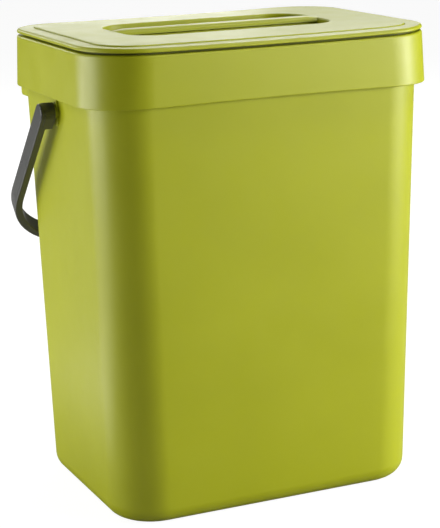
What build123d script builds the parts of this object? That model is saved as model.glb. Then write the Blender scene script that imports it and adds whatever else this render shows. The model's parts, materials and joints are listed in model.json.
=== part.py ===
from build123d import *
import os
from math import radians, tan

# Small kitchen waste bin: a tapered tub with a bag ring round its mouth, a lift-off lid with a
# finger recess, and a strap handle on two pivots. Millimetres and degrees.
# X runs along the long side, Y from the front to the back, Z up. The origin lies on the floor
# under the middle of the tub. The handle is drawn folded down behind the bin.

# Tub
base_length = 187.2
base_width = 139.0
tub_height = 262.6
tub_corner_radius = 28.0
tub_draft = 1.25
tub_wall = 2.0
floor_thickness = 3.0
base_rounding = 8.0
floor_rounding = 2.0
bead_height = 2.5
mouth_rounding = 0.6

# Bag ring
ring_height = 29.0
ring_overhang = 5.6
ring_corner_radius = 33.4
ring_draft = 2.1
ring_wall = 2.0
ring_flange = 2.2
ring_arch = 1.2
ring_top_rounding = 1.3
ring_edge_rounding = 0.6
lip_depth = 12.0
lip_wall = 1.8
bag_gap = 0.6

# Lid
lid_inset = 0.25
lid_corner_radius = 32.4
lid_gap = 1.3
rim_thickness = 2.3
rim_top_rounding = 1.0
rim_low_rounding = 0.6
plug_gap = 0.5
plug_wall = 1.8
plug_depth = 8.0
lid_floor = 1.6
seal_width = 5.0
seal_gap = 0.1
panel_inset = 10.4
panel_corner_radius = 20.0
panel_seat_height = 0.8
panel_rise = 1.1
panel_gap = 0.15
panel_rounding = 0.8

# Finger recess and grip bar
recess_length = 125.0
recess_width = 67.0
recess_corner_radius = 18.0
recess_depth = 17.5
recess_draft = 3.0
recess_rounding = 4.0
recess_lip_rounding = 1.0
cup_wall = 1.8
bar_width = 10.8
bar_rise = 0.5
bar_ramp = 9.0
bar_depth = 6.0
bar_root = 3.0
bar_end_gap = 0.3
bar_top_rounding = 2.0
bar_low_rounding = 1.5

# Handle and its pivots
hang_angle = 44.0
handle_reach = 128.5
handle_corner_radius = 52.5
strap_width = 10.4
strap_thickness = 4.7
strap_rounding = 0.9
handle_ring_gap = 0.4
pivot_drop = 8.8
lug_ring_gap = 0.4
lug_thickness = 8.0
lug_boss_gap = 0.3
pad_width = 8.5
pad_height = 1.2
pad_length = 17.0
boss_radius = 4.0
pin_radius = 2.5
pin_running_gap = 0.08
pin_press_gap = 0.02
pin_bore_depth = 5.5
pin_end_gap = 0.3
pin_head_radius = 4.0
pin_head_thickness = 1.4
pin_head_rounding = 0.5
washer_radius = 5.5
washer_thickness = 1.2
washer_gap = 0.3

# Hanging rail across the back
rail_length = 186.0
rail_height = 8.8
rail_web = 2.0
rail_lip = 2.0
rail_ring_gap = 0.5
rail_rounding = 1.5
rail_root = 20.0

# Heights and sizes that follow from the ones above
ring_top = tub_height + ring_flange
ring_bottom = ring_top - ring_height
lip_bottom = tub_height - lip_depth
lid_low = ring_top + lid_gap
panel_seat = lid_low + panel_seat_height
panel_top = lid_low + rim_thickness + panel_rise
bar_top = panel_top + bar_rise
plug_bottom = lid_low - plug_depth
pivot_z = ring_bottom - pivot_drop


def grown(size, height, draft):
    """A size that leans outwards on both sides by a draft angle over a height."""
    return size + 2 * height * tan(radians(draft))


ring_length = grown(base_length, ring_bottom, tub_draft) + 2 * ring_overhang
ring_width = grown(base_width, ring_bottom, tub_draft) + 2 * ring_overhang
lip_length = grown(base_length, lip_bottom, tub_draft) - 2 * (tub_wall + bag_gap)
lip_width = grown(base_width, lip_bottom, tub_draft) - 2 * (tub_wall + bag_gap)
lip_radius = tub_corner_radius - tub_wall - bag_gap
plug_length = lip_length - 2 * (lip_wall + plug_gap)
plug_width = lip_width - 2 * (lip_wall + plug_gap)
plug_radius = lip_radius - lip_wall - plug_gap
lid_length = grown(ring_length, ring_height, -ring_draft) - 2 * lid_inset
lid_width = grown(ring_width, ring_height, -ring_draft) - 2 * lid_inset
panel_length = lid_length - 2 * panel_inset
panel_width = lid_width - 2 * panel_inset
arm_inner = ring_length / 2 + handle_ring_gap
arm_outer = arm_inner + strap_thickness
lug_inner = arm_outer - lug_thickness
wall_inner = grown(base_length, pivot_z, tub_draft) / 2 - tub_wall


def rounded(length, width, radius, z):
    """A flat rectangle with rounded corners, centred on the Z axis."""
    return Plane.XY.offset(z) * RectangleRounded(length, width, radius)


def straight(length, width, radius, low, high):
    """A rounded block with upright walls."""
    return extrude(rounded(length, width, radius, low), high - low)


def tub_section(z, inset):
    return rounded(
        grown(base_length, z, tub_draft) - 2 * inset,
        grown(base_width, z, tub_draft) - 2 * inset,
        tub_corner_radius - inset,
        z,
    )


def ring_section(z, inset):
    height = z - ring_bottom
    return rounded(
        grown(ring_length, height, -ring_draft) - 2 * inset,
        grown(ring_width, height, -ring_draft) - 2 * inset,
        ring_corner_radius - inset,
        z,
    )


def recess_section(z, inset):
    height = z - panel_top
    return rounded(
        grown(recess_length, height, recess_draft) - 2 * inset,
        grown(recess_width, height, recess_draft) - 2 * inset,
        recess_corner_radius - inset,
        z,
    )


def drafted(section, low, high, inset=0.0):
    """A block with leaning walls between two heights of a section function."""
    return loft([section(low, inset), section(high, inset)], ruled=True)


def box(x, y, z):
    """A box given by its lowest and highest value along each axis."""
    size = [high - low for low, high in (x, y, z)]
    centre = [(low + high) / 2 for low, high in (x, y, z)]
    return Pos(*centre) * Box(*size)


def rod(radius, x_low, x_high):
    """A round bar along X on the pivot axis."""
    centre = Pos((x_low + x_high) / 2, 0, pivot_z)
    return centre * Rot(0, 90, 0) * Cylinder(radius, x_high - x_low)


def both_sides(solid):
    """A solid on the +X side and its mirror image on the -X side."""
    return solid + mirror(solid, Plane.YZ)


def arch_cutter(rise, half_span, z):
    """A great cylinder along Y whose top rises over the span, starting from height z."""
    radius = (half_span**2 + rise**2) / (2 * rise)
    return Pos(0, 0, z + rise - radius) * Rot(90, 0, 0) * Cylinder(radius, 2 * ring_length)


def make_tub():
    shell = drafted(tub_section, 0, tub_height)
    shell = fillet(shell.edges().group_by(Axis.Z)[0], base_rounding)

    # The bead stiffens the mouth and fills most of the space inside the ring's skirt.
    bead_inset = ring_wall + bag_gap
    bead = ring_section(tub_height, bead_inset).moved(Location((0, 0, -bead_height)))
    shell += extrude(bead, bead_height)

    # A raised pad on each short side carries a round boss for the pivot pin.
    pad_band = box((-ring_length, ring_length), (-pad_width / 2, pad_width / 2),
                   (ring_bottom - pad_length, ring_bottom))
    shell += drafted(tub_section, 0, tub_height, -pad_height) & pad_band
    shell += both_sides(rod(boss_radius, wall_inner, lug_inner - lug_boss_gap))

    # The rail is a strip that stands off the back wall, open below for a bracket to hook in.
    rail_high = ring_bottom - rail_ring_gap
    rail_low = rail_high - rail_height
    rail_back = ring_width / 2
    rail_front = rail_back - rail_root
    half_rail = rail_length / 2
    rail = box((-half_rail, half_rail), (rail_front, rail_back), (rail_low, rail_high))
    rail = fillet(rail.edges().filter_by(Axis.X).sort_by(Axis.Y)[-2:], rail_rounding)
    channel_half = half_rail - rail_lip
    rail -= box((-channel_half, channel_half), (rail_front, rail_back - rail_lip),
                (rail_low, rail_high - rail_web))
    shell += rail

    cavity = drafted(tub_section, floor_thickness, 2 * tub_height, tub_wall)
    cavity = fillet(cavity.edges().group_by(Axis.Z)[0], floor_rounding)
    shell -= cavity
    shell -= rod(pin_radius + pin_running_gap, -ring_length, ring_length)
    return fillet(shell.edges().group_by(Axis.Z)[-1], mouth_rounding)


def make_bag_ring():
    ring = drafted(ring_section, ring_bottom, ring_top)
    ring = fillet(ring.edges().group_by(Axis.Z)[-1], ring_top_rounding)
    ring -= arch_cutter(ring_arch, ring_length / 2, ring_bottom)
    low_band = ring_bottom + ring_arch
    ring = fillet([edge for edge in ring.edges() if edge.center().Z < low_band], ring_edge_rounding)
    ring -= drafted(ring_section, ring_bottom - ring_height, tub_height, ring_wall)
    ring += straight(lip_length, lip_width, lip_radius, lip_bottom, tub_height)
    ring -= straight(lip_length - 2 * lip_wall, lip_width - 2 * lip_wall,
                     lip_radius - lip_wall, ring_bottom, 2 * ring_top)
    top_face = ring.faces().sort_by(Axis.Z)[-1]
    return fillet(top_face.inner_wires()[0].edges(), ring_edge_rounding)


def make_lid_frame():
    frame = straight(lid_length, lid_width, lid_corner_radius, lid_low, lid_low + rim_thickness)
    frame = fillet(frame.edges().group_by(Axis.Z)[-1], rim_top_rounding)
    frame = fillet(frame.edges().group_by(Axis.Z)[0], rim_low_rounding)
    frame += straight(plug_length, plug_width, plug_radius, plug_bottom, lid_low)
    frame -= straight(plug_length - 2 * plug_wall, plug_width - 2 * plug_wall,
                      plug_radius - plug_wall, plug_bottom, panel_seat - lid_floor)
    frame -= straight(panel_length + 2 * panel_gap, panel_width + 2 * panel_gap,
                      panel_corner_radius + panel_gap, panel_seat, panel_top)

    cup_bottom = panel_top - recess_depth
    cup = drafted(recess_section, cup_bottom - cup_wall, panel_seat, -cup_wall)
    cup = fillet(cup.edges().group_by(Axis.Z)[0], recess_rounding + cup_wall)
    hollow = drafted(recess_section, cup_bottom, 2 * panel_top)
    hollow = fillet(hollow.edges().group_by(Axis.Z)[0], recess_rounding)
    return frame + cup - hollow


def make_lid_panel():
    panel = straight(panel_length, panel_width, panel_corner_radius, panel_seat, panel_top)
    panel = fillet(panel.edges().group_by(Axis.Z)[-1], panel_rounding)
    panel -= drafted(recess_section, panel_seat, panel_top)
    top_face = panel.faces().sort_by(Axis.Z)[-1]
    panel = fillet(top_face.inner_wires()[0].edges(), recess_lip_rounding)

    # The bar is drawn from the side. Its top slopes down to the panel at both ends, and below
    # the panel it is shorter, so that it stays clear of the cup's end walls.
    root_x = recess_length / 2 + bar_root
    crest_x = root_x - bar_ramp
    bar_low = panel_top - bar_depth
    low_x = grown(recess_length, bar_low - panel_top, recess_draft) / 2 - bar_end_gap
    right_side = [(crest_x, bar_top), (root_x, panel_top), (root_x, panel_seat),
                  (low_x, panel_seat), (low_x, bar_low)]
    left_side = [(-x, z) for x, z in reversed(right_side)]
    outline = make_face(Polyline(*right_side, *left_side, close=True))
    bar = extrude(Plane.XZ * outline, bar_width / 2, both=True)
    long_edges = bar.edges().filter_by(Axis.X).group_by(Axis.Z)
    bar = fillet(long_edges[0], bar_low_rounding)
    crest = [edge for edge in bar.edges() if edge.length > bar_width and edge.center().Z > panel_top]
    return panel + fillet(crest, bar_top_rounding)


def make_lid_seal():
    inner = [plug_length + 2 * seal_gap, plug_width + 2 * seal_gap, plug_radius + seal_gap]
    outer = [inner[0] + 2 * seal_width, inner[1] + 2 * seal_width, inner[2] + seal_width]
    return straight(*outer, ring_top, lid_low) - straight(*inner, ring_top, lid_low)


def make_handle():
    """The bail is drawn hanging straight down, then swung back to where it rests."""
    end = strap_width / 2
    height = handle_reach + end
    middle = Pos(0, end - height / 2)
    outer = middle * Rectangle(2 * arm_outer, height)
    outer = fillet(outer.vertices().group_by(Axis.Y)[0], handle_corner_radius)
    inner = middle * Pos(0, strap_thickness) * Rectangle(2 * arm_inner, height)
    inner = fillet(inner.vertices().group_by(Axis.Y)[0], handle_corner_radius - strap_thickness)
    strap = extrude(Plane.XZ * (outer - inner), end, both=True)

    side = Circle(end) + Pos(0, -handle_reach) * Rectangle(strap_width, 2 * handle_reach)
    side_block = extrude(Plane.YZ * side, 2 * arm_outer, both=True)
    strap = strap & side_block
    strap = fillet(strap.edges(), strap_rounding)

    lug = Rot(0, 90, 0) * Cylinder(pivot_drop - lug_ring_gap, lug_thickness - strap_rounding)
    lug = Pos(lug_inner + (lug_thickness - strap_rounding) / 2, 0, 0) * lug
    lug = lug & side_block
    bore = Rot(0, 90, 0) * Cylinder(pin_radius + pin_press_gap, 2 * pin_bore_depth)
    bore = Pos(lug_inner, 0, 0) * bore
    handle = strap + both_sides(lug) - both_sides(bore)
    return Pos(0, 0, pivot_z) * Rot(hang_angle, 0, 0) * handle


def make_pivot_pin():
    head_outer = wall_inner - washer_gap - washer_thickness
    head = rod(pin_head_radius, head_outer - pin_head_thickness, head_outer)
    head = fillet(head.edges().group_by(Axis.X)[0], pin_head_rounding)
    return head + rod(pin_radius, head_outer, lug_inner + pin_bore_depth - pin_end_gap)


def make_pin_washer():
    face = wall_inner - washer_gap
    washer = rod(washer_radius, face - washer_thickness, face)
    return washer - rod(pin_radius + pin_press_gap, face - washer_thickness, face)


nodes = {
    "tub": make_tub(),
    "bag_ring": make_bag_ring(),
    "lid_frame": make_lid_frame(),
    "lid_panel": make_lid_panel(),
    "lid_seal": make_lid_seal(),
    "handle": make_handle(),
    "pivot_pin_right": make_pivot_pin(),
    "pin_washer_right": make_pin_washer(),
}
for name in ("pivot_pin", "pin_washer"):
    nodes[name + "_left"] = mirror(nodes[name + "_right"], Plane.YZ)

os.makedirs("parts", exist_ok=True)
for name, shape in nodes.items():
    export_step(shape, f"parts/{name}.step")
    print(name, round(shape.volume / 1000, 2), "cm3")
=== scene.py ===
# %% [markdown]
# A small kitchen trash can, as it hangs in a cupboard or stands on a worktop.
# The real one is a handful of plastic mouldings: a tapered tub, a ring that drops over its mouth and
# holds the bag, a lid in two layers with a finger recess, and a dark strap handle on two pins.
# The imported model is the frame. Each big moulding is modelled again here with rounded edges and fine
# surfaces, in the same place and at the same size, and the small hidden parts keep their own meshes.

# %% Load the frame
import json
from math import cos, degrees, pi, radians, sin, sqrt, tan

import bmesh
import bpy
from mathutils import Matrix, Vector


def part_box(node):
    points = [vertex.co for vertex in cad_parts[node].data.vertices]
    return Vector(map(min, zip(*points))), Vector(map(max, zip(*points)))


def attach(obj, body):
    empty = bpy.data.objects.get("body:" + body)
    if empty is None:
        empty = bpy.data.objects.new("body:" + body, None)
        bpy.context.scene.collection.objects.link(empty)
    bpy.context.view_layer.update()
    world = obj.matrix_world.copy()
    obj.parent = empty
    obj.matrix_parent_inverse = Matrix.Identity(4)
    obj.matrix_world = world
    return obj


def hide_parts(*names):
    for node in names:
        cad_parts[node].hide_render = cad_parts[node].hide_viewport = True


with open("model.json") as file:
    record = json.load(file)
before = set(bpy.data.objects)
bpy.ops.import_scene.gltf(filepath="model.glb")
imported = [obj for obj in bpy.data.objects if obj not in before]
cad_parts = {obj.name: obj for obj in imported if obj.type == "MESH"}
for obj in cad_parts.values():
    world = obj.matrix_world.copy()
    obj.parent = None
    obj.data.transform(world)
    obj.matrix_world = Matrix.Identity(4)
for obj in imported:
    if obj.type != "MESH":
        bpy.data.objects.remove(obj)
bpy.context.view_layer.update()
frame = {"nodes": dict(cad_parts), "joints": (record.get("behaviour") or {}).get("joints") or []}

# %% [markdown]
# Sizes come first. Heights are read from the frame, so the pieces sit where the model has them.
# The rest are the wall thicknesses, radii and drafts that a toolmaker would write on the drawing.
# A draft is the small lean of a wall that lets a moulding slide out of its mould.


# %% Name the sizes of the tub
def grown(size, height, draft):
    """A size that leans outwards on both sides by a draft angle over a height."""
    return size + 2 * height * tan(draft)


MM = 0.001
base_length = 187.2 * MM
base_width = 139.0 * MM
tub_corner = 28.0 * MM
tub_draft = radians(1.25)
tub_wall = 2.0 * MM
tub_floor = 3.0 * MM
base_rounding = 10.0 * MM
mouth_rounding = 0.6 * MM
bead_height = 2.5 * MM
tub_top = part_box("tub")[1].z
print("tub", round(tub_top / MM, 1), "mm tall")

# %% Name the sizes of the bag ring
ring_height = 29.0 * MM
ring_overhang = 5.6 * MM
ring_corner = 33.4 * MM
ring_draft = radians(2.1)
ring_wall = 2.0 * MM
lip_depth = 12.0 * MM
lip_wall = 1.8 * MM
bag_gap = 0.6 * MM
ring_top_rounding = 1.3 * MM
ring_edge_rounding = 0.6 * MM
lip_rounding = 0.4 * MM
ring_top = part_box("bag_ring")[1].z
ring_bottom = ring_top - ring_height
lip_bottom = tub_top - lip_depth
ring_length = grown(base_length, ring_bottom, tub_draft) + 2 * ring_overhang
ring_width = grown(base_width, ring_bottom, tub_draft) + 2 * ring_overhang
lip_length = grown(base_length, lip_bottom, tub_draft) - 2 * (tub_wall + bag_gap)
lip_width = grown(base_width, lip_bottom, tub_draft) - 2 * (tub_wall + bag_gap)
lip_corner = tub_corner - tub_wall - bag_gap
print("ring", round(ring_length / MM, 1), "by", round(ring_width / MM, 1), "mm")

# %% Name the sizes of the lid
lid_inset = 0.25 * MM
lid_corner = 32.4 * MM
plug_gap = 0.5 * MM
plug_wall = 1.8 * MM
plug_depth = 8.0 * MM
lid_floor = 1.6 * MM
panel_inset = 10.4 * MM
panel_corner = 20.0 * MM
panel_gap = 0.15 * MM
recess_length = 125.0 * MM
recess_width = 67.0 * MM
recess_corner = 18.0 * MM
recess_draft = radians(3.0)
cup_wall = 1.8 * MM
cup_rounding = 4.0 * MM
rim_rounding = 1.8 * MM
rim_low_rounding = 0.6 * MM
seat_height = 0.8 * MM
seat_rounding = 0.25 * MM
plug_rounding = 0.5 * MM
panel_rise = 0.65 * MM
panel_rounding = 0.7 * MM
recess_rounding = 1.0 * MM
cup_bottom, rim_top = [corner.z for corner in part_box("lid_frame")]
seal_low, rim_low = [corner.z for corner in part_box("lid_seal")]
bar_low, bar_top = [corner.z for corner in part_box("lid_panel")]
panel_seat = rim_low + seat_height
panel_top = rim_top + panel_rise
lid_length = grown(ring_length, ring_height, -ring_draft) - 2 * lid_inset
lid_width = grown(ring_width, ring_height, -ring_draft) - 2 * lid_inset
plug_length = lip_length - 2 * (lip_wall + plug_gap)
plug_width = lip_width - 2 * (lip_wall + plug_gap)
plug_corner = lip_corner - lip_wall - plug_gap
print("lid", round(lid_length / MM, 1), "by", round(lid_width / MM, 1), "mm")

# %% [markdown]
# Every big moulding here is a rounded rectangle that changes size with height, so one small kit makes
# them all. An outline is a flat plate whose four corners are bevelled into arcs. Outlines stacked on
# each other are bridged into a skin, as a boatbuilder planks a hull over its frames. They are bridged
# while they stand well apart, so that each meets its neighbour squarely, and then moved to their
# heights. An edge that the hand meets is then bevelled, because a moulding never has a truly sharp
# edge and the bright line along a rounded edge is what makes plastic look real.

# %% Make outlines and loft them
corner_steps = 18
straight_steps = 14
storey = 50 * MM


def outline(bm, length, width, corner, z):
    """A loop of edges in the shape of a rounded rectangle, centred on the Z axis."""
    before = set(bm.edges)
    plate = bmesh.ops.create_grid(bm, x_segments=1, y_segments=1, size=0.5)["verts"]
    bmesh.ops.scale(bm, vec=(length, width, 1), verts=plate)
    bmesh.ops.translate(bm, vec=(0, 0, z), verts=plate)
    bmesh.ops.bevel(bm, geom=plate, offset=corner, affect="VERTICES",
                    segments=corner_steps, profile=0.5, material=-1)
    straight = [edge for edge in bm.edges if edge not in before and edge.calc_length() > corner]
    bmesh.ops.subdivide_edges(bm, edges=straight, cuts=straight_steps)
    edges = [edge for edge in bm.edges if edge not in before]
    faces = list({face for edge in edges for face in edge.link_faces})
    bmesh.ops.delete(bm, geom=faces, context="FACES_ONLY")
    return edges


def lofted(bm, sections, closed=False):
    """Bridges a stack of outlines. The ends are capped, or joined when the stack is closed."""
    loops = [outline(bm, *section[:3], level * storey) for level, section in enumerate(sections)]
    for lower, upper in zip(loops, loops[1:]):
        bmesh.ops.bridge_loops(bm, edges=lower + upper)
    if closed:
        bmesh.ops.bridge_loops(bm, edges=loops[-1] + loops[0])
    else:
        bmesh.ops.edgeloop_fill(bm, edges=loops[0])
        bmesh.ops.edgeloop_fill(bm, edges=loops[-1])
    for loop, section in zip(loops, sections):
        for vert in {vert for edge in loop for vert in edge.verts}:
            vert.co.z = section[3]
    bm.normal_update()
    bmesh.ops.recalc_face_normals(bm, faces=bm.faces)
    return loops


def round_over(bm, edges, radius, steps=4):
    """Rolls a set of edges over to a radius. Returns the new vertices."""
    return bmesh.ops.bevel(bm, geom=edges, offset=radius, affect="EDGES", segments=steps,
                           profile=0.5, material=-1)["verts"]


print("each corner arc has", corner_steps, "steps")

# %% [markdown]
# The long thin walls of a moulding like this pull in a little as they cool. On this one the rim sags
# about a millimetre in the middle of the long sides, and the ring's lower edge is drawn up.
# All the upper pieces lie on each other, so one function moves them all and the gaps stay even.

# %% Describe how the rim sags
rim_sag = 1.0 * MM
ring_arch = 1.2 * MM
still_margin = 8 * MM
still_half_width = recess_width / 2 + still_margin


def smooth_step(value):
    """Rises from 0 to 1 without a corner as the value goes from 0 to 1."""
    part = min(max(value, 0.0), 1.0)
    return part * part * (3 - 2 * part)


def settle(bm):
    """Lowers what lies near the middle of the long sides, more towards the top."""
    for vert in bm.verts:
        along = max(0.0, 1 - (2 * vert.co.x / ring_length) ** 2)
        across = (abs(vert.co.y) - still_half_width) / (lid_width / 2 - still_half_width)
        height = (vert.co.z - ring_bottom) / ring_height
        vert.co.z -= rim_sag * along * smooth_step(across) * min(max(height, 0.0), 1.0)


def draw_up(bm):
    """Lifts the ring's lower edge in the middle of the long sides."""
    for vert in bm.verts:
        along = max(0.0, 1 - (2 * vert.co.x / ring_length) ** 2)
        vert.co.z += ring_arch * along * max(0.0, (ring_top - vert.co.z) / ring_height)


print("the rim sags", rim_sag / MM, "mm")

# %% [markdown]
# A finished mesh becomes an object at the origin, rides on its body and takes the place of its node.
# Weighted normals keep the broad faces flat and let only the narrow bevels shade round, which is how
# the light breaks on a real moulding. Creases sharper than the limit stay crisp.

# %% Turn a mesh into a piece
crease_limit = radians(38)
weld_distance = 0.001 * MM


def new_piece(bm, name, body, material, nodes=()):
    """Makes the object of one piece from its mesh, hangs it on its body and hides the nodes it stands
    for.
    """
    bmesh.ops.remove_doubles(bm, verts=bm.verts, dist=weld_distance)
    bmesh.ops.recalc_face_normals(bm, faces=bm.faces)
    mesh = bpy.data.meshes.new(name)
    bm.to_mesh(mesh)
    bm.free()
    mesh.shade_smooth()
    mesh.set_sharp_from_angle(angle=crease_limit)
    mesh.materials.append(material)
    piece = bpy.data.objects.new(name, mesh)
    bpy.context.scene.collection.objects.link(piece)
    weighted = piece.modifiers.new("weighted", "WEIGHTED_NORMAL")
    weighted.keep_sharp = True
    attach(piece, body)
    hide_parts(*nodes)
    print(name, len(mesh.polygons), "faces")
    return piece


print("creases sharper than", round(degrees(crease_limit)), "degrees stay crisp")

# %% [markdown]
# The finish of the big mouldings is coloured polypropylene from a finely eroded mould: satin, with a
# grain too fine to see from a step away. Three noises make it. A wide one shifts the colour a little,
# as the melt does where it cools unevenly. A middling one ripples the surface by a few hundredths of
# a millimetre, which bends the long highlights, and shifts the gloss. A fine one is the eroded grain.

# %% Make a moulded plastic
wide_patch = 60 * MM
middling_patch = 14 * MM
fine_patch = 0.5 * MM
gloss_spread = 0.03
noise_low = 0.3
noise_high = 0.7


def link(tree, source, output, target, entry):
    tree.links.new(source.outputs[output], target.inputs[entry])


def noise(tree, coordinates, size, detail):
    """A noise pattern whose patches are about the given size across."""
    node = tree.nodes.new("ShaderNodeTexNoise")
    node.inputs["Scale"].default_value = 1 / size
    node.inputs["Detail"].default_value = detail
    link(tree, coordinates, "Object", node, "Vector")
    return node


def ranged(tree, source, low, high):
    """Turns a noise into a number between two values."""
    node = tree.nodes.new("ShaderNodeMapRange")
    node.inputs["From Min"].default_value = noise_low
    node.inputs["From Max"].default_value = noise_high
    node.inputs["To Min"].default_value = low
    node.inputs["To Max"].default_value = high
    link(tree, source, "Fac", node, "Value")
    return node


def bumped(tree, source, height, below=None):
    """A bump of a real height in metres, laid over another one if there is one."""
    node = tree.nodes.new("ShaderNodeBump")
    node.inputs["Distance"].default_value = height
    link(tree, source, "Fac", node, "Height")
    if below:
        link(tree, below, "Normal", node, "Normal")
    return node


def moulded_plastic(name, dark, light, roughness, grain, ripple):
    """Satin plastic between two close colours, with its ripple and grain as real heights."""
    material = bpy.data.materials.new(name)
    material.use_nodes = True
    tree = material.node_tree
    shader = tree.nodes["Principled BSDF"]
    coordinates = tree.nodes.new("ShaderNodeTexCoord")
    wide = noise(tree, coordinates, wide_patch, detail=2)
    middling = noise(tree, coordinates, middling_patch, detail=2)
    fine = noise(tree, coordinates, fine_patch, detail=3)
    colour = tree.nodes.new("ShaderNodeMix")
    colour.data_type = "RGBA"
    colour.inputs["A"].default_value = (*dark, 1)
    colour.inputs["B"].default_value = (*light, 1)
    link(tree, ranged(tree, wide, 0, 1), "Result", colour, "Factor")
    link(tree, colour, "Result", shader, "Base Color")
    gloss = ranged(tree, middling, roughness - gloss_spread, roughness + gloss_spread)
    link(tree, gloss, "Result", shader, "Roughness")
    surface = bumped(tree, fine, grain, bumped(tree, middling, ripple))
    link(tree, surface, "Normal", shader, "Normal")
    print(name, "made")
    return material


print("the colour shifts over patches of", round(wide_patch / MM), "mm")

# %% Mix the finishes
lime = moulded_plastic("lime_plastic", (0.420, 0.449, 0.004), (0.448, 0.478, 0.007),
                       roughness=0.42, grain=0.006 * MM, ripple=0.03 * MM)
grey = moulded_plastic("grey_plastic", (0.064, 0.065, 0.060), (0.076, 0.076, 0.070),
                       roughness=0.30, grain=0.006 * MM, ripple=0.02 * MM)
pin_grey = moulded_plastic("pin_plastic", (0.040, 0.041, 0.038), (0.050, 0.050, 0.047),
                           roughness=0.45, grain=0.006 * MM, ripple=0.01 * MM)
# The seal's colour is a darkened copy of the lime, painted shade for the gap under the lid's rim.
seal_rubber = moulded_plastic("seal_rubber", (0.110, 0.120, 0.012), (0.130, 0.140, 0.016),
                              roughness=0.70, grain=0.012 * MM, ripple=0.02 * MM)

# %% [markdown]
# The tub is a thin-walled bucket. It could be a solid with a Solidify modifier, but the outside and
# the inside round differently, so both skins are lofted: up the outside, over the bead that stiffens
# the mouth, and down the inside to the floor. Underneath, the floor is drawn in a little so that the
# tub stands on a rim, with the round mark of the mould's gate in the middle.


# %% Loft the tub
def tub_section(z, inset=0.0):
    return (grown(base_length, z, tub_draft) - 2 * inset,
            grown(base_width, z, tub_draft) - 2 * inset,
            tub_corner - inset, z)


def ring_section(z, inset=0.0):
    height = z - ring_bottom
    return (grown(ring_length, height, -ring_draft) - 2 * inset,
            grown(ring_width, height, -ring_draft) - 2 * inset,
            ring_corner - inset, z)


bead = ring_section(tub_top, ring_wall + bag_gap)[:3]
bead_low = tub_top - bead_height
tub = bmesh.new()
tub_loops = lofted(tub, [
    tub_section(0),
    tub_section(bead_low),
    (*bead, bead_low),
    (*bead, tub_top),
    tub_section(tub_top, tub_wall),
    tub_section(tub_floor, tub_wall),
])
round_over(tub, tub_loops[0], base_rounding, steps=8)
round_over(tub, tub_loops[5], base_rounding - tub_wall, steps=6)
round_over(tub, tub_loops[3] + tub_loops[4], mouth_rounding)
print("tub skin", len(tub.faces), "faces")

# %% Draw in the underside
foot_width = 5.0 * MM
foot_depth = 0.8 * MM
gate_radius = 4.0 * MM
gate_middle = 0.8 * foot_depth
underside = min(tub.faces, key=lambda face: face.calc_center_median().z)
bmesh.ops.inset_region(tub, faces=[underside], thickness=foot_width, use_even_offset=True)
bmesh.ops.inset_region(tub, faces=[underside], thickness=foot_depth, use_even_offset=True)
bmesh.ops.translate(tub, vec=(0, 0, foot_depth), verts=underside.verts)
gate = bmesh.ops.create_cone(tub, cap_ends=True, segments=32, radius1=gate_radius,
                             radius2=gate_radius, depth=foot_depth)["verts"]
bmesh.ops.translate(tub, vec=(0, 0, gate_middle), verts=gate)
print("foot rim", foot_width / MM, "mm wide")

# %% [markdown]
# On each short side a flat pad and a round boss carry the handle's pin clear of the wall. They are
# part of the same moulding, so they join its mesh as closed blocks with their roots in the wall.

# %% Make blocks and pick their edges
sharp_limit = radians(45)
nearly_half = 0.999 / 2


def block(bm, x, y, z):
    """A box between two values along each axis. Returns its vertices."""
    verts = bmesh.ops.create_cube(bm, size=1)["verts"]
    spans = (x, y, z)
    bmesh.ops.scale(bm, vec=[high - low for low, high in spans], verts=verts)
    bmesh.ops.translate(bm, vec=[(low + high) / 2 for low, high in spans], verts=verts)
    return verts


def edges_of(verts):
    return list({edge for vert in verts for edge in vert.link_edges})


def faces_of(verts):
    return list({face for vert in verts for face in vert.link_faces})


def reach(edge, axis):
    """How far an edge reaches along X, Y or Z, which are the axes 0, 1 and 2."""
    return abs(edge.verts[0].co[axis] - edge.verts[1].co[axis])


def sharp(edges):
    """Picks the edges at which two faces meet in a clear corner."""
    return [edge for edge in edges if edge.is_manifold and edge.calc_face_angle() > sharp_limit]


def round_end(bm, edges, width):
    """Rounds an end to a half circle. The two arcs stop just short of meeting."""
    return round_over(bm, edges, width * nearly_half, steps=8)


print("corners over", round(degrees(sharp_limit)), "degrees are picked")

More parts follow.
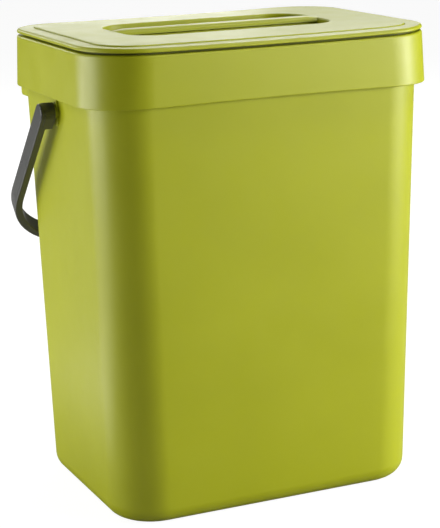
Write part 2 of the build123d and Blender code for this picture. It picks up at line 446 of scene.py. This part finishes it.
# %% Add the pivot pads and bosses
joint = next(joint for joint in frame["joints"] if joint["name"] == "handle_swing")
pivot = Vector(joint["pos_m"])
pad_width = 6.8 * MM
pad_height = 1.3 * MM
pad_length = 17.0 * MM
pad_rounding = 0.35 * MM
boss_radius = 4.0 * MM
boss_gap = 0.3 * MM
strap_thickness = 4.7 * MM
lug_thickness = 8.4 * MM
arm_gap = 0.4 * MM
arm_inner = ring_length / 2 + arm_gap
arm_outer = arm_inner + strap_thickness
lug_inner = arm_outer - lug_thickness
pad_low = ring_bottom - pad_length
wall_at_pad = grown(base_length, pad_low, tub_draft) / 2
boss_low = grown(base_length, pivot.z, tub_draft) / 2 - tub_wall / 2
boss_high = lug_inner - boss_gap
for side in (1, -1):
    pad = block(tub, sorted((-side * tub_wall / 2, side * pad_height)),
                (-pad_width / 2, pad_width / 2), (0, pad_length))
    low_ends = [edge for edge in edges_of(pad)
                if all(vert.co.z < pad_length / 2 for vert in edge.verts)
                and reach(edge, 1) < pad_width / 2]
    pad += round_end(tub, low_ends, pad_width)
    pad = [vert for vert in pad if vert.is_valid]
    lean = Matrix.Rotation(side * tub_draft, 3, "Y")
    bmesh.ops.rotate(tub, cent=(0, 0, 0), matrix=lean, verts=pad)
    bmesh.ops.translate(tub, vec=(side * wall_at_pad, 0, pad_low), verts=pad)
    round_over(tub, sharp(edges_of(pad)), pad_rounding, steps=3)
    boss = bmesh.ops.create_cone(tub, cap_ends=True, segments=48, radius1=boss_radius,
                                 radius2=boss_radius, depth=boss_high - boss_low)["verts"]
    bmesh.ops.rotate(tub, cent=(0, 0, 0), matrix=Matrix.Rotation(pi / 2, 3, "Y"), verts=boss)
    bmesh.ops.translate(tub, vec=(side * (boss_low + boss_high) / 2, 0, pivot.z), verts=boss)
print("pads start at", round(pad_low / MM, 1), "mm")

# %% [markdown]
# The rail across the back lets the tub hang on a bracket inside a cupboard door. It is a strip with a
# channel that is open below. A block is hollowed by insetting its underside and pushing that face up,
# which leaves even walls all round, and the two outer edges are rolled over.

# %% Add the hanging rail
rail_length = 186.0 * MM
rail_height = 8.8 * MM
rail_web = 2.0 * MM
rail_lip = 2.0 * MM
rail_gap = 0.5 * MM
rail_rounding = 1.5 * MM
rail_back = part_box("tub")[1].y
rail_high = ring_bottom - rail_gap
rail_low = rail_high - rail_height
rail_sunk = tub_wall / 2
half_rail = rail_length / 2
bend_shares = (0, 0.3, 0.55, 0.75, 0.9)
down_limit = -0.9
hair = 0.1 * MM


def pushed(bm, faces, move):
    """Extrudes a patch of faces by a move and returns the patch at its new end."""
    made = bmesh.ops.extrude_face_region(bm, geom=faces)["geom"]
    verts = [item for item in made if isinstance(item, bmesh.types.BMVert)]
    bmesh.ops.translate(bm, vec=move, verts=verts)
    bmesh.ops.delete(bm, geom=faces, context="FACES")
    return [item for item in made if isinstance(item, bmesh.types.BMFace)]


def sliced(bm, verts, cuts):
    """Cuts a block across its length at some places. Returns all its vertices."""
    for cut in cuts:
        geometry = verts + edges_of(verts) + faces_of(verts)
        split = bmesh.ops.bisect_plane(bm, geom=geometry, plane_co=(cut, 0, 0), plane_no=(1, 0, 0))
        verts += [item for item in split["geom_cut"] if isinstance(item, bmesh.types.BMVert)]
    return verts


def facing_down(faces):
    return [face for face in faces if face.normal.z < down_limit]


def back_wall(x, z):
    """How far back the outside of the tub's wall stands at a place along its length."""
    length, width, corner, z = tub_section(z)
    past = max(0.0, abs(x) - length / 2 + corner)
    return width / 2 - corner + sqrt(corner * corner - past * past)


rail = block(tub, (-half_rail, half_rail), (0, rail_back), (rail_low, rail_high))
corner_start = base_length / 2 - tub_corner
bends = [corner_start + share * (half_rail - corner_start) for share in bend_shares]
rail = sliced(tub, rail, [side * bend for side in (-1, 1) for bend in bends])
for vert in rail:
    if vert.co.y < rail_back / 2:
        vert.co.y = back_wall(vert.co.x, vert.co.z) - rail_sunk
tub.normal_update()
under = facing_down(faces_of(rail))
back_edges = [edge for edge in edges_of(rail)
              if all(vert.co.y > rail_back - hair for vert in edge.verts) and reach(edge, 2) < hair]
bmesh.ops.inset_region(tub, faces=under, thickness=rail_lip, use_even_offset=True, use_boundary=True)
middle_of_channel = rail_back - 1.5 * rail_lip
for vert in {vert for face in under for vert in face.verts}:
    if vert.co.y < middle_of_channel:
        vert.co.y -= rail_lip - rail_sunk
pushed(tub, under, (0, 0, rail_height - rail_web))
round_over(tub, back_edges, rail_rounding)
settle(tub)
new_piece(tub, "tub_shell", "tub", lime, ["tub"])

# %% [markdown]
# The bag ring is one closed loop of section: an outer skirt, a flat top, and a short lip that reaches
# into the tub and pins the bag against the wall. Its sections run round that loop and the last one is
# bridged back to the first. The top edge has the largest radius, because a finger runs along it.

# %% Loft the bag ring
lip_inner = (lip_length - 2 * lip_wall, lip_width - 2 * lip_wall, lip_corner - lip_wall)
ring = bmesh.new()
ring_loops = lofted(ring, [
    ring_section(ring_bottom),
    ring_section(ring_top),
    (*lip_inner, ring_top),
    (*lip_inner, lip_bottom),
    (lip_length, lip_width, lip_corner, lip_bottom),
    (lip_length, lip_width, lip_corner, tub_top),
    ring_section(tub_top, ring_wall),
    ring_section(ring_bottom, ring_wall),
], closed=True)
round_over(ring, ring_loops[1], ring_top_rounding, steps=5)
round_over(ring, ring_loops[0] + ring_loops[7] + ring_loops[2], ring_edge_rounding)
round_over(ring, ring_loops[3] + ring_loops[4], lip_rounding, steps=3)
settle(ring)
draw_up(ring)
new_piece(ring, "bag_ring_shell", "ring", lime, ["bag_ring"])

# %% [markdown]
# The lid's frame carries everything on the lid: the rim that overhangs the ring, the plug that keeps
# it from sliding, the seat for the upper panel, and the finger cup that hangs down in the middle.
# Its section is an open chain from the inside of the cup, over the rim, to the underside of the cup.


# %% Loft the lid's frame
def recess_section(z, inset=0.0):
    height = z - panel_top
    return (grown(recess_length, height, recess_draft) - 2 * inset,
            grown(recess_width, height, recess_draft) - 2 * inset,
            recess_corner - inset, z)


panel_length = lid_length - 2 * panel_inset
panel_width = lid_width - 2 * panel_inset
seat = (panel_length + 2 * panel_gap, panel_width + 2 * panel_gap, panel_corner + panel_gap)
plug = (plug_length, plug_width, plug_corner)
plug_inner = (plug_length - 2 * plug_wall, plug_width - 2 * plug_wall, plug_corner - plug_wall)
lid_under = panel_seat - lid_floor
plug_bottom = rim_low - plug_depth
lid = bmesh.new()
lid_loops = lofted(lid, [
    recess_section(cup_bottom + cup_wall),
    recess_section(panel_seat),
    (*seat, panel_seat),
    (*seat, rim_top),
    (lid_length, lid_width, lid_corner, rim_top),
    (lid_length, lid_width, lid_corner, rim_low),
    (*plug, rim_low),
    (*plug, plug_bottom),
    (*plug_inner, plug_bottom),
    (*plug_inner, lid_under),
    recess_section(lid_under, -cup_wall),
    recess_section(cup_bottom, -cup_wall),
])
round_over(lid, lid_loops[0], cup_rounding, steps=6)
round_over(lid, lid_loops[11], cup_rounding + cup_wall, steps=6)
round_over(lid, lid_loops[4], rim_rounding, steps=6)
round_over(lid, lid_loops[5], rim_low_rounding)
round_over(lid, lid_loops[3], seat_rounding, steps=3)
round_over(lid, lid_loops[7] + lid_loops[8], plug_rounding, steps=3)
settle(lid)
new_piece(lid, "lid_frame_shell", "lid", lime, ["lid_frame"])

# %% [markdown]
# The upper panel drops into its seat and stands a good half millimetre proud of the rim, which draws
# the thin line round the lid. It has the finger opening in its middle, with the grip bar across it.
# The bar's top falls away at both ends, so that it runs into the panel without a step.

# %% Loft the lid's panel
panel = bmesh.new()
panel_loops = lofted(panel, [
    (panel_length, panel_width, panel_corner, panel_seat),
    (panel_length, panel_width, panel_corner, panel_top),
    recess_section(panel_top),
    recess_section(panel_seat),
], closed=True)
round_over(panel, panel_loops[1], panel_rounding, steps=5)
round_over(panel, panel_loops[2], recess_rounding, steps=5)
print("panel", len(panel.faces), "faces")

# %% Shape the grip bar
bar_width = 10.8 * MM
bar_root = 3.0 * MM
bar_slope = 9.0 * MM
bar_foot_gap = 0.3 * MM
crest_rounding = 3.6 * MM
heel_rounding = 1.5 * MM
bar_end = recess_length / 2 + bar_root
bar_crest = bar_end - bar_slope
bar_foot_end = grown(recess_length, bar_low - panel_top, recess_draft) / 2 - bar_foot_gap
bar = block(panel, (-bar_end, bar_end), (-bar_width / 2, bar_width / 2), (panel_seat, bar_top))
bar = sliced(panel, bar, (-bar_foot_end, -bar_crest, bar_crest, bar_foot_end))
for vert in bar:
    past_crest = (abs(vert.co.x) - bar_crest) / (bar_end - bar_crest)
    if vert.co.z > panel_top:
        vert.co.z -= (bar_top - panel_top) * max(past_crest, 0.0)
under = [face for face in facing_down(faces_of(bar))
         if abs(face.calc_center_median().x) < bar_foot_end]
foot_faces = pushed(panel, under, (0, 0, bar_low - panel_seat))
foot = list({vert for face in foot_faces for vert in face.verts})
long_edges = [edge for edge in sharp(edges_of(bar + foot)) if reach(edge, 1) < bar_width / 2]
crest = [edge for edge in long_edges
         if min(vert.co.z for vert in edge.verts) > panel_top - hair]
heel = [edge for edge in long_edges if max(vert.co.z for vert in edge.verts) < bar_low + hair]
round_over(panel, crest, crest_rounding, steps=7)
round_over(panel, heel, heel_rounding)
settle(panel)
new_piece(panel, "lid_panel_shell", "lid", lime, ["lid_panel"])

# %% [markdown]
# The seal is a flat soft ring round the plug. It holds the lid off the ring, so it makes the gap that
# runs round under the rim, which lies in shade. Its colour is the lime darkened to about a quarter:
# painted shade that makes that gap darker still.

# %% Loft the seal
seal_gap = 0.1 * MM
seal_width = 5.0 * MM
seal_rounding = 0.3 * MM
seal_inner = (plug_length + 2 * seal_gap, plug_width + 2 * seal_gap, plug_corner + seal_gap)
seal_outer = (seal_inner[0] + 2 * seal_width, seal_inner[1] + 2 * seal_width,
              seal_inner[2] + seal_width)
seal = bmesh.new()
seal_loops = lofted(seal, [
    (*seal_inner, seal_low),
    (*seal_outer, seal_low),
    (*seal_outer, rim_low),
    (*seal_inner, rim_low),
], closed=True)
round_over(seal, seal_loops[1] + seal_loops[2], seal_rounding, steps=3)
settle(seal)
new_piece(seal, "lid_seal_ring", "lid", seal_rubber, ["lid_seal"])

# %% [markdown]
# The handle is a flat strap bent into a bail. It is modelled hanging straight down, where its shape is
# simple: one face is pushed from the middle of the crossbar, spun round the corner and pushed up the
# arm. The end is rounded about the pin, all the long edges are rolled over, and the half is mirrored.
# Only then is the whole bail swung back to where it rests.

# %% Bend the strap
handle_reach = 128.5 * MM
handle_corner = 52.5 * MM
strap_width = 10.4 * MM
strap_rounding = 0.9 * MM
bend_steps = 24
bend_x = arm_outer - handle_corner
arm_length = handle_reach - handle_corner + strap_width / 2
strap = bmesh.new()
start = bmesh.ops.create_grid(strap, x_segments=1, y_segments=1, size=0.5)["verts"]
bmesh.ops.scale(strap, vec=(strap_thickness, strap_width, 1), verts=start)
quarter_turn = Matrix.Rotation(pi / 2, 3, "Y")
bmesh.ops.rotate(strap, cent=(0, 0, 0), matrix=quarter_turn, verts=start)
bmesh.ops.translate(strap, vec=(0, 0, strap_thickness / 2 - handle_reach), verts=start)
end_face = pushed(strap, strap.faces[:], (bend_x, 0, 0))[0]
turned = bmesh.ops.spin(strap, geom=[end_face, *end_face.edges, *end_face.verts],
                        cent=(bend_x, 0, handle_corner - handle_reach), axis=(0, -1, 0),
                        angle=pi / 2, steps=bend_steps)["geom_last"]
end_face = next(item for item in turned if isinstance(item, bmesh.types.BMFace))
end_face = pushed(strap, [end_face], (0, 0, arm_length))[0]
print("strap", len(strap.faces), "faces")

# %% Round the strap's end and edges
tip_weld = 0.02 * MM
end_edges = [edge for edge in end_face.edges if reach(edge, 1) < strap_width / 2]
round_end(strap, end_edges, strap_width)
bmesh.ops.remove_doubles(strap, verts=strap.verts, dist=tip_weld)
round_over(strap, sharp(strap.edges), strap_rounding)
print("rounded strap", len(strap.faces), "faces")

# %% Add the lugs, mirror and swing the handle
lug_swell = 0.3 * MM
lug_width = strap_width + 2 * lug_swell
lug_drop = 8.4 * MM
hang_angle = radians(44.0)
lug = block(strap, (lug_inner, arm_inner + strap_thickness / 2),
            (-lug_width / 2, lug_width / 2), (-lug_drop, strap_width / 2))
top_ends = [edge for edge in edges_of(lug)
            if reach(edge, 0) > lug_thickness / 4 and edge.verts[0].co.z > 0]
round_end(strap, top_ends, strap_width)
bmesh.ops.mirror(strap, geom=strap.verts[:] + strap.edges[:] + strap.faces[:], axis="X",
                 merge_dist=weld_distance)
bmesh.ops.rotate(strap, cent=(0, 0, 0), matrix=Matrix.Rotation(hang_angle, 3, "X"),
                 verts=strap.verts)
bmesh.ops.translate(strap, vec=pivot, verts=strap.verts)
new_piece(strap, "handle_bail", "handle", grey, ["handle"])

# %% [markdown]
# The pins and washers are small turned shapes that the model already has right, so their own meshes
# stay and only take a finish.

# %% Finish the pins and washers
for name in ("pivot_pin_left", "pivot_pin_right", "pin_washer_left", "pin_washer_right"):
    node = frame["nodes"][name]
    node.data.materials.clear()
    node.data.materials.append(pin_grey)
print("pins and washers finished")

# %% [markdown]
# The camera stands where the photographer stood: to the left of the front face and a little above the
# lid, turned by hand a degree and a half. Its long lens keeps the uprights nearly parallel.

# %% Place the camera
camera_place = Vector((-0.40694, -0.91742, 0.37411))
camera_turn = 0.41593
camera_tilt = -0.24103
camera_roll = -0.02616
lens = 119.01
camera_data = bpy.data.cameras.new("camera")
camera_data.lens = lens
camera = bpy.data.objects.new("camera", camera_data)
bpy.context.scene.collection.objects.link(camera)
camera.matrix_world = (Matrix.Translation(camera_place)
                       @ Matrix.Rotation(-camera_turn, 4, "Z")
                       @ Matrix.Rotation(pi / 2 + camera_tilt, 4, "X")
                       @ Matrix.Rotation(camera_roll, 4, "Z"))
bpy.context.scene.camera = camera
print("camera", round(camera_place.length, 2), "m away")

# %% [markdown]
# The light is that of a product table. Two broad lamps stand low at the left, light that wall and throw
# the arm's soft shadow forwards. Another hangs above them for the lid's rim. Two at the right wash the
# front, three behind shine along the lid, and one hangs overhead. A soft card lies on the table at the
# left, and its reflection is the thin line along the arm's edge. The side where the camera stands is
# dark, and that darkness is the band down the rounded corner.

# %% Hang the lamps
lamp_size = 0.45
lamp_distance = 1.6
middle = Vector((0, 0, 0.14))


def lamp(name, turn, lift, power, distance=lamp_distance):
    """A soft square lamp, turned round the object from its front and lifted above its middle."""
    data = bpy.data.lights.new(name, "AREA")
    data.shape = "SQUARE"
    data.size = lamp_size * distance / lamp_distance
    data.energy = power
    light = bpy.data.objects.new(name, data)
    bpy.context.scene.collection.objects.link(light)
    turn, lift = radians(turn), radians(lift)
    towards = Vector((sin(turn) * cos(lift), -cos(turn) * cos(lift), sin(lift)))
    light.location = middle + distance * towards
    light.rotation_euler = (-towards).to_track_quat("-Z", "Y").to_euler()
    light.visible_camera = False
    return light


lamp("right_lamp", 62, 8, 9.3, 1.15)
lamp("front_lamp", 38, 14, 6.8, 1.35)
lamp("back_lamp", -166, 22, 3.2)
lamp("left_lamp", -122, 2, 5.6, 1.4)
lamp("side_lamp", -100, 2, 6.2, 1.4)
lamp("rear_lamp", 162, 10, 2.9)
lamp("high_lamp", 145, 35, 7.2)
lamp("top_lamp", 62, 60, 6.0)
lamp("crown_lamp", -115, 40, 3.2)
print("nine lamps hung")

# %% Lay the soft card on the table
card_size = 0.22
card_height = 4 * MM
card = lamp("card_lamp", -112, 0, 0.29, 0.31)
card.location.z = card_height
card.rotation_euler = (pi, 0, 0)
card.data.size = card_size
print("card", card_size, "m wide")

# %% [markdown]
# The backdrop has to be white without lighting the bin, because light from all round would wash out the
# dark band. So the world and the floor are bright only to rays that come straight from the camera, and
# dim to all others. The floor still shows a little of the bin's shadow.

# %% Paint the world
fill_strength = 0.07
backdrop_strength = 1.0
world = bpy.data.worlds.new("world")
bpy.context.scene.world = world
world.use_nodes = True
tree = world.node_tree
background = tree.nodes["Background"]
background.inputs["Color"].default_value = (1, 1, 1, 1)
rays = tree.nodes.new("ShaderNodeLightPath")
strength = tree.nodes.new("ShaderNodeMapRange")
strength.inputs["To Min"].default_value = fill_strength
strength.inputs["To Max"].default_value = backdrop_strength
link(tree, rays, "Is Camera Ray", strength, "Value")
link(tree, strength, "Result", background, "Strength")
print("world", backdrop_strength, "to the camera and", fill_strength, "to the bin")

# %% Lay the floor
floor_size = 8.0
floor_mesh = bmesh.new()
bmesh.ops.create_grid(floor_mesh, x_segments=1, y_segments=1, size=floor_size / 2)
mesh = bpy.data.meshes.new("floor")
floor_mesh.to_mesh(mesh)
floor_mesh.free()
floor = bpy.data.objects.new("floor", mesh)
bpy.context.scene.collection.objects.link(floor)
print("floor", floor_size, "m wide")

# %% Paper the floor
paper_colour = (0.85, 0.85, 0.84, 1)
paper_roughness = 0.9
glow_strength = 1.2
glow_share = 0.78
dim_colour = (0.38, 0.38, 0.38, 1)
paper = bpy.data.materials.new("paper")
paper.use_nodes = True
tree = paper.node_tree
matt = tree.nodes["Principled BSDF"]
matt.inputs["Base Color"].default_value = paper_colour
matt.inputs["Roughness"].default_value = paper_roughness
glow = tree.nodes.new("ShaderNodeEmission")
glow.inputs["Strength"].default_value = glow_strength
lit = tree.nodes.new("ShaderNodeMixShader")
lit.inputs["Fac"].default_value = glow_share
tree.links.new(matt.outputs["BSDF"], lit.inputs[1])
tree.links.new(glow.outputs["Emission"], lit.inputs[2])
dim = tree.nodes.new("ShaderNodeBsdfDiffuse")
dim.inputs["Color"].default_value = dim_colour
seen = tree.nodes.new("ShaderNodeLightPath")
mixed = tree.nodes.new("ShaderNodeMixShader")
link(tree, seen, "Is Camera Ray", mixed, "Fac")
tree.links.new(dim.outputs["BSDF"], mixed.inputs[1])
tree.links.new(lit.outputs["Shader"], mixed.inputs[2])
link(tree, mixed, "Shader", tree.nodes["Material Output"], "Surface")
mesh.materials.append(paper)
print("floor papered")

# %% Set the view
bpy.context.scene.view_settings.view_transform = "Standard"
